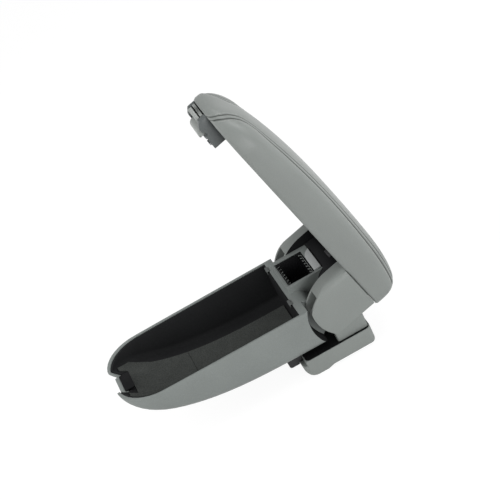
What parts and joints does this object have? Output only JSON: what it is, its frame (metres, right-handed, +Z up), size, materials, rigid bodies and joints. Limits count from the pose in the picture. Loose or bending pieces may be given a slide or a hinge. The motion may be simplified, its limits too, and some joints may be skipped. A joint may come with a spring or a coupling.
{
  "type": "car centre armrest",
  "caption": "Car centre armrest with a padded lid and a boat-shaped storage bin, both turning on one axle over a fixed base.",
  "frame": {"origin": "middle of the bracket's mounting face, under the base", "axes": "+Z up out of the mounting face, -X towards the nose and latch, Y across the armrest along the pivot axis"},
  "size_m": [0.3038, 0.117, 0.3084],
  "materials": {
    "trim_plastic": "satin grained",
    "cover_leather": "fine grained",
    "liner_plastic": "matte",
    "mat_felt": "felt",
    "light_plastic": "satin",
    "steel_sheet": "zinc plated",
    "steel_tube": "drawn",
    "spring_steel": "bright",
    "buffer_rubber": "matte",
    "bushing_nylon": "satin"
  },
  "bodies": {
    "base": {"base_cover": "trim_plastic", "hinge_bracket": "steel_sheet", "pillar_cap_left": "trim_plastic", "pillar_cap_right": "trim_plastic", "pivot_axle": "steel_tube", "axle_clips": "steel_sheet", "rest_buffer": "buffer_rubber", "lid_springs": "spring_steel"},
    "bin": {"bin_shell": "trim_plastic", "bin_liner": "liner_plastic", "bin_mat": "mat_felt", "neck_comb": "liner_plastic", "neck_tab": "light_plastic", "liner_clips": "light_plastic", "striker_plate": "liner_plastic", "barrel_bushings": "bushing_nylon", "friction_collar": "spring_steel"},
    "lid": {"lid_pad": "cover_leather", "lid_panel": "liner_plastic", "cheek_left": "trim_plastic", "cheek_right": "trim_plastic", "cheek_bushings": "bushing_nylon", "cheek_screws": "spring_steel", "latch_housing": "trim_plastic", "latch_screws": "spring_steel", "lid_buffers": "buffer_rubber", "latch_spring": "spring_steel"},
    "latch": {"latch_button": "light_plastic", "latch_bolt": "light_plastic"}
  },
  "joints": [
    {"name": "armrest_tilt", "type": "hinge", "parent": "base", "child": "bin", "pos_m": [0.038, 0, 0.066], "axis": [0, 1, 0], "range_deg": [0, 25]},
    {"name": "lid_hinge", "type": "hinge", "parent": "bin", "child": "lid", "pos_m": [0.038, 0, 0.066], "axis": [0, -1, 0], "range_deg": [0, 75.6]},
    {"name": "latch_slide", "type": "slide", "parent": "lid", "child": "latch", "axis": [0.2487, 0, -0.9686], "range_m": [0, 0.0035], "stiffness_N_per_m": 300, "springref_m": -0.003, "deforming": ["latch_spring"]}
  ]
}
